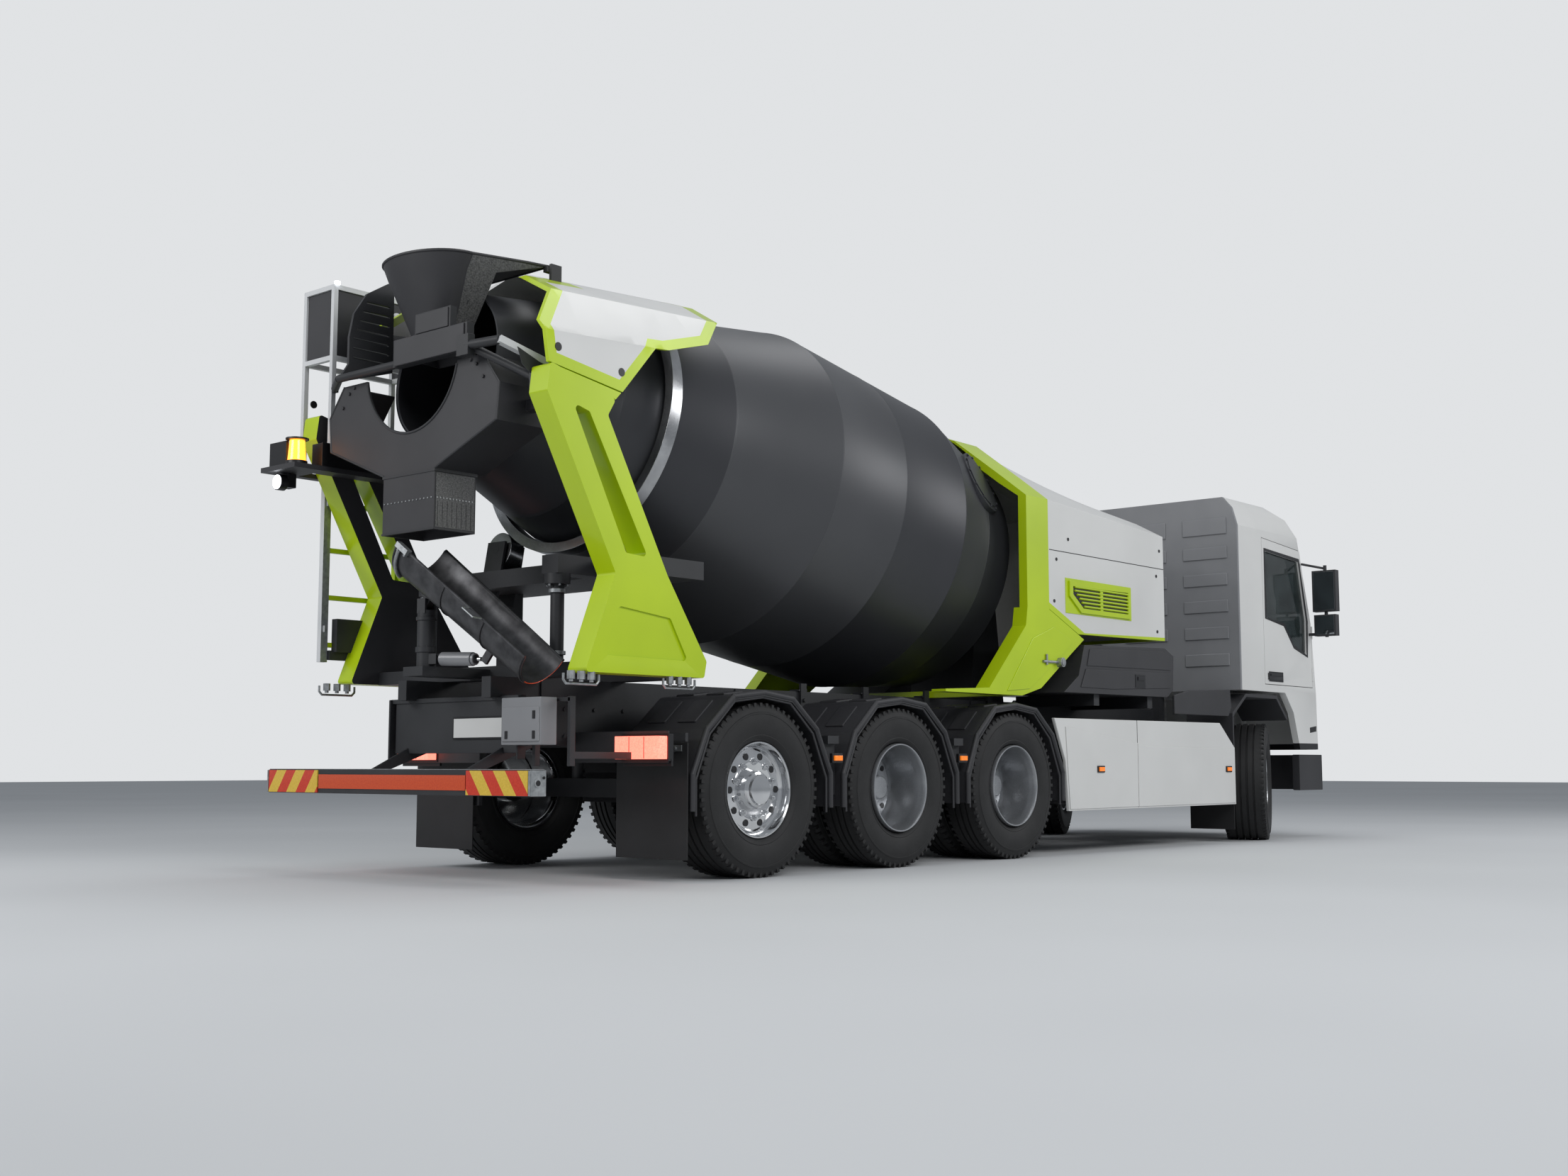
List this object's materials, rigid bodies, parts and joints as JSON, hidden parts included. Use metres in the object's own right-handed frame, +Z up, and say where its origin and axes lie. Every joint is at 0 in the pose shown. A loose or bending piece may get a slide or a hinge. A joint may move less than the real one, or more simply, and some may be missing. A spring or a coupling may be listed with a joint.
{
  "type": "concrete mixer truck",
  "caption": "Concrete mixer truck: a tilted turning drum on a long rigid chassis, tilting cab, white cowls, charging hopper and swinging chute at the rear.",
  "frame": {"origin": "middle of the footprint box on the ground", "axes": "+X forward, +Y to the driver's left, +Z up"},
  "size_m": [10.1, 3.08, 3.8016],
  "materials": {
    "lime_paint": "semi-gloss lime green paint",
    "white_paint": "satin white paint",
    "drum_paint": "satin anthracite paint",
    "frame_paint": "satin dark grey chassis paint",
    "dark_plastic": "textured dark grey plastic",
    "bare_steel": "worn bright steel",
    "wheel_silver": "satin silver wheel finish",
    "tyre_rubber": "matt black tyre rubber",
    "flap_rubber": "matt black rubber",
    "tinted_glass": "tinted safety glass",
    "lamp_red": "clear red lamp lens",
    "lamp_clear": "clear lamp lens",
    "board_red": "red and yellow reflective sheet",
    "seat_fabric": "dark woven cloth and soft plastic"
  },
  "bodies": {
    "chassis": {"chassis_frame": "frame_paint", "discharge_collector": "frame_paint", "drive_line": "frame_paint", "equipment_boxes": "dark_plastic", "front_arch": "lime_paint", "front_axle_beam": "frame_paint", "front_bumper": "dark_plastic", "front_cowl": "white_paint", "front_mudguards": "dark_plastic", "headlamps": "lamp_clear", "hopper_frame": "frame_paint", "ladder_platform": "bare_steel", "mud_flaps": "flap_rubber", "platform_panels": "dark_plastic", "rear_axles": "frame_paint", "rear_bridge": "frame_paint", "rear_cowl": "white_paint", "rear_mudguards": "dark_plastic", "rear_pillars": "lime_paint", "side_skirts": "white_paint", "tail_lamps": "lamp_red", "underrun_bar": "frame_paint", "warning_boards": "board_red"},
    "cab": {"cab_shell": "white_paint", "windscreen": "tinted_glass", "cab_interior": "seat_fabric"},
    "drum": {"drum_shell": "drum_paint", "drum_ring": "bare_steel"},
    "drum_roller_left": {"drum_roller_left": "bare_steel"},
    "drum_roller_right": {"drum_roller_right": "bare_steel"},
    "knuckle_left": {"knuckle_left": "frame_paint"},
    "knuckle_right": {"knuckle_right": "frame_paint"},
    "track_rod": {"track_rod": "frame_paint"},
    "hopper": {"charging_hopper": "dark_plastic"},
    "chute_swivel": {"chute_swivel": "frame_paint"},
    "main_chute": {"main_chute": "bare_steel"},
    "strut_barrel": {"strut_barrel": "frame_paint"},
    "strut_rod": {"strut_rod": "bare_steel"},
    "door_left": {"door_left": "white_paint", "door_glass_left": "tinted_glass", "mirror_left": "dark_plastic"},
    "wheel_tag_left": {"wheel_tag_left": "wheel_silver", "tyre_tag_left": "tyre_rubber"},
    "wheel_drive_rear_left": {"wheels_drive_rear_left": "wheel_silver", "tyres_drive_rear_left": "tyre_rubber"},
    "wheel_drive_mid_left": {"wheels_drive_mid_left": "wheel_silver", "tyres_drive_mid_left": "tyre_rubber"},
    "wheel_front_left": {"wheel_front_left": "wheel_silver", "tyre_front_left": "tyre_rubber"},
    "door_right": {"door_right": "white_paint", "door_glass_right": "tinted_glass", "mirror_right": "dark_plastic"},
    "wheel_tag_right": {"wheel_tag_right": "wheel_silver", "tyre_tag_right": "tyre_rubber"},
    "wheel_drive_rear_right": {"wheels_drive_rear_right": "wheel_silver", "tyres_drive_rear_right": "tyre_rubber"},
    "wheel_drive_mid_right": {"wheels_drive_mid_right": "wheel_silver", "tyres_drive_mid_right": "tyre_rubber"},
    "wheel_front_right": {"wheel_front_right": "wheel_silver", "tyre_front_right": "tyre_rubber"}
  },
  "joints": [
    {"name": "door_left", "type": "hinge", "parent": "cab", "child": "door_left", "pos_m": [4.723, 1.25, 1.4], "axis": [0, 0, -1], "range_deg": [0, 70]},
    {"name": "tag_wheel_left", "type": "hinge", "parent": "chassis", "child": "wheel_tag_left", "pos_m": [-3.15, 1, 0.52], "axis": [0, 1, 0], "continuous": true},
    {"name": "drive_rear_wheel_left", "type": "hinge", "parent": "chassis", "child": "wheel_drive_rear_left", "pos_m": [-1.78, 1, 0.52], "axis": [0, 1, 0], "continuous": true},
    {"name": "drive_mid_wheel_left", "type": "hinge", "parent": "chassis", "child": "wheel_drive_mid_left", "pos_m": [-0.41, 1, 0.52], "axis": [0, 1, 0], "continuous": true},
    {"name": "front_wheel_left", "type": "hinge", "parent": "knuckle_left", "child": "wheel_front_left", "pos_m": [3.65471, 1.04259, 0.52], "axis": [-0.3746, 0.9272, 0], "continuous": true},
    {"name": "steer_left", "type": "hinge", "parent": "chassis", "child": "knuckle_left", "pos_m": [3.68, 0.98, 0.52], "axis": [0, 0, 1], "range_deg": [-54, 10]},
    {"name": "roller_spin_left", "type": "hinge", "parent": "chassis", "child": "drum_roller_left", "pos_m": [-3.65346, 0.55829, 2.04249], "axis": [0.9847, 0, -0.1745], "continuous": true},
    {"name": "door_right", "type": "hinge", "parent": "cab", "child": "door_right", "pos_m": [4.723, -1.25, 1.4], "axis": [0, 0, 1], "range_deg": [0, 70]},
    {"name": "tag_wheel_right", "type": "hinge", "parent": "chassis", "child": "wheel_tag_right", "pos_m": [-3.15, -1, 0.52], "axis": [0, 1, 0], "continuous": true},
    {"name": "drive_rear_wheel_right", "type": "hinge", "parent": "chassis", "child": "wheel_drive_rear_right", "pos_m": [-1.78, -1, 0.52], "axis": [0, 1, 0], "continuous": true},
    {"name": "drive_mid_wheel_right", "type": "hinge", "parent": "chassis", "child": "wheel_drive_mid_right", "pos_m": [-0.41, -1, 0.52], "axis": [0, 1, 0], "continuous": true},
    {"name": "front_wheel_right", "type": "hinge", "parent": "knuckle_right", "child": "wheel_front_right", "pos_m": [3.70529, -1.04259, 0.52], "axis": [-0.3746, 0.9272, 0], "continuous": true},
    {"name": "steer_right", "type": "hinge", "parent": "chassis", "child": "knuckle_right", "pos_m": [3.68, -0.98, 0.52], "axis": [0, 0, 1], "range_deg": [-54, 10]},
    {"name": "roller_spin_right", "type": "hinge", "parent": "chassis", "child": "drum_roller_right", "pos_m": [-3.65346, -0.55829, 2.04249], "axis": [0.9847, 0, -0.1745], "continuous": true},
    {"name": "track_rod_pivot", "type": "hinge", "parent": "knuckle_left", "child": "track_rod", "pos_m": [3.56874, 0.93505, 0.4], "axis": [0, 0, 1], "range_deg": [-10, 54]},
    {"name": "drum_spin", "type": "hinge", "parent": "chassis", "child": "drum", "pos_m": [-3.15, 0, 2.763], "axis": [0.9847, 0, -0.1745], "continuous": true},
    {"name": "cab_tilt", "type": "hinge", "parent": "chassis", "child": "cab", "pos_m": [4.93, 0, 0.96], "axis": [0, 1, 0], "range_deg": [0, 50]},
    {"name": "hopper_lift", "type": "hinge", "parent": "chassis", "child": "hopper", "pos_m": [-4.23, 0, 3.6], "axis": [0, 1, 0], "range_deg": [0, 35]},
    {"name": "chute_swing", "type": "hinge", "parent": "chassis", "child": "chute_swivel", "pos_m": [-4.7, 0, 1.4], "axis": [0, 0, 1], "range_deg": [-202, 0]},
    {"name": "chute_tilt", "type": "hinge", "parent": "chute_swivel", "child": "main_chute", "pos_m": [-4.7, 0, 1.6], "axis": [-0.9816, -0.1908, 0], "range_deg": [-4, 22]},
    {"name": "strut_swing", "type": "hinge", "parent": "chute_swivel", "child": "strut_barrel", "pos_m": [-4.68569, -0.07362, 1.275], "axis": [-0.9816, -0.1908, 0], "range_deg": [-5, 25]},
    {"name": "strut_slide", "type": "slide", "parent": "strut_barrel", "child": "strut_rod", "axis": [0.1907, -0.9811, -0.0323], "range_m": [-0.024, 0.128]}
  ],
  "couplings": [
    {"joint": "roller_spin_left", "follows": "drum_spin", "ratio": -7.1087},
    {"joint": "roller_spin_right", "follows": "drum_spin", "ratio": -7.1087},
    {"joint": "steer_right", "follows": "steer_left", "ratio": 1},
    {"joint": "track_rod_pivot", "follows": "steer_left", "ratio": -1},
    {"joint": "strut_swing", "follows": "chute_tilt", "ratio": 1.0801},
    {"joint": "strut_slide", "follows": "chute_tilt", "m_per_rad": 0.329}
  ]
}
